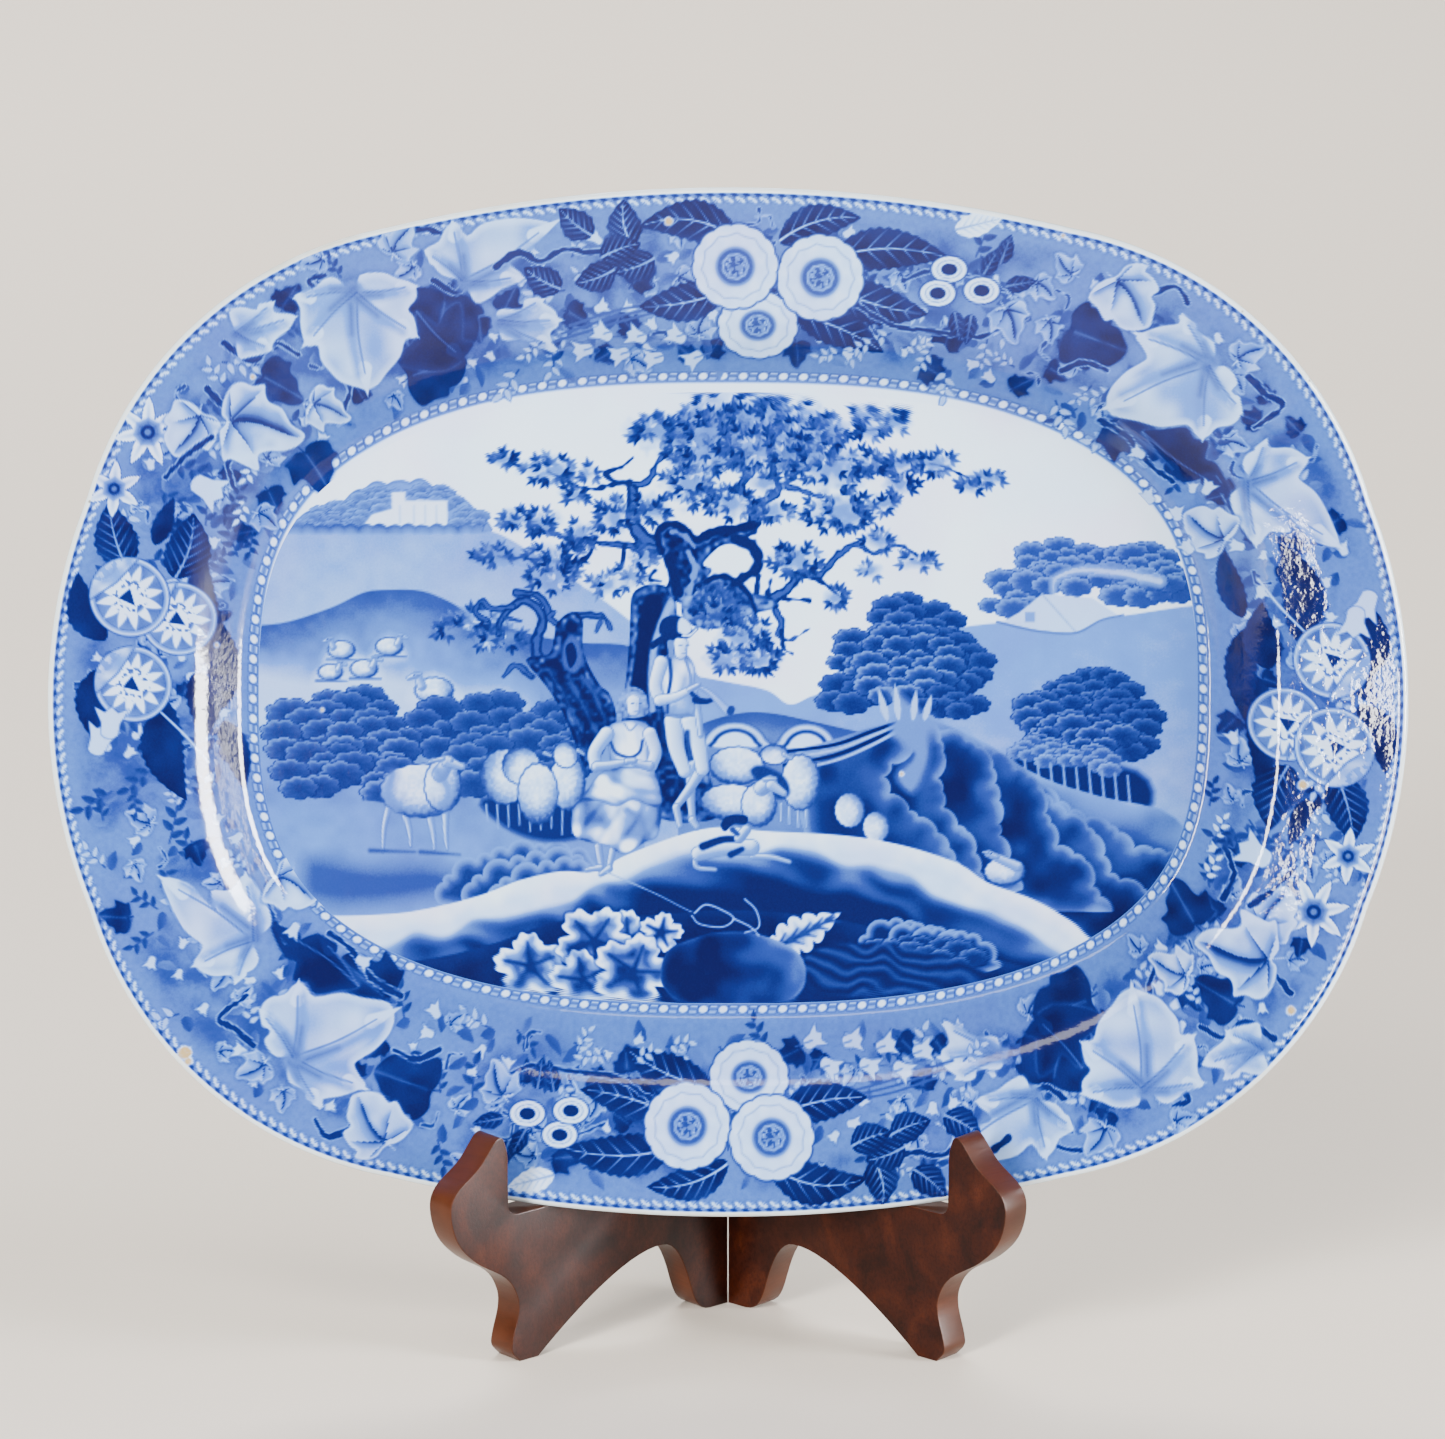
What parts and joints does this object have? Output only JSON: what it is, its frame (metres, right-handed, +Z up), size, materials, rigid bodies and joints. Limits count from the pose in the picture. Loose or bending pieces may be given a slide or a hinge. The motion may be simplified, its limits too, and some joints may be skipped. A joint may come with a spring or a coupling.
{
  "type": "display platter on folding stand",
  "caption": "Oval lobed earthenware serving platter leaning on a folding stand of hinged wooden leaves with hooked feet.",
  "frame": {"origin": "on the floor, under the middle of the whole assembly's box", "axes": "+X to the right as the platter is looked at, +Y to the back, +Z up; the platter faces -Y"},
  "size_m": [0.482, 0.1116, 0.4122],
  "materials": {
    "glazed_earthenware": "clear gloss glaze over a blue transfer print",
    "stained_wood": "mahogany stain under gloss lacquer",
    "hinge_brass": "aged, satin",
    "screw_brass": "aged, satin"
  },
  "bodies": {
    "left_leaf": {"left_leaf": "stained_wood", "left_lower_hinge_plate": "hinge_brass", "left_upper_hinge_plate": "hinge_brass", "lower_hinge_pin": "hinge_brass", "upper_hinge_pin": "hinge_brass", "left_lower_screw_1": "screw_brass", "left_lower_screw_2": "screw_brass", "left_lower_screw_3": "screw_brass", "left_upper_screw_1": "screw_brass", "left_upper_screw_2": "screw_brass", "left_upper_screw_3": "screw_brass"},
    "right_leaf": {"right_leaf": "stained_wood", "right_lower_hinge_plate": "hinge_brass", "right_upper_hinge_plate": "hinge_brass", "right_lower_screw_1": "screw_brass", "right_lower_screw_2": "screw_brass", "right_lower_screw_3": "screw_brass", "right_upper_screw_1": "screw_brass", "right_upper_screw_2": "screw_brass", "right_upper_screw_3": "screw_brass"},
    "platter": {"platter": "glazed_earthenware"}
  },
  "joints": [
    {"name": "platter_lift", "type": "slide", "parent": "left_leaf", "child": "platter", "axis": [0, 0, 1], "range_m": [0, 0.5]},
    {"name": "leaf_fold", "type": "hinge", "parent": "left_leaf", "child": "right_leaf", "pos_m": [0, 0.02884, 0.088], "axis": [0, 0, -1], "range_deg": [0, 98]}
  ],
  "couplings": [
    {"joint": "leaf_fold", "follows": "platter_lift", "rad_per_m": 3.42}
  ]
}
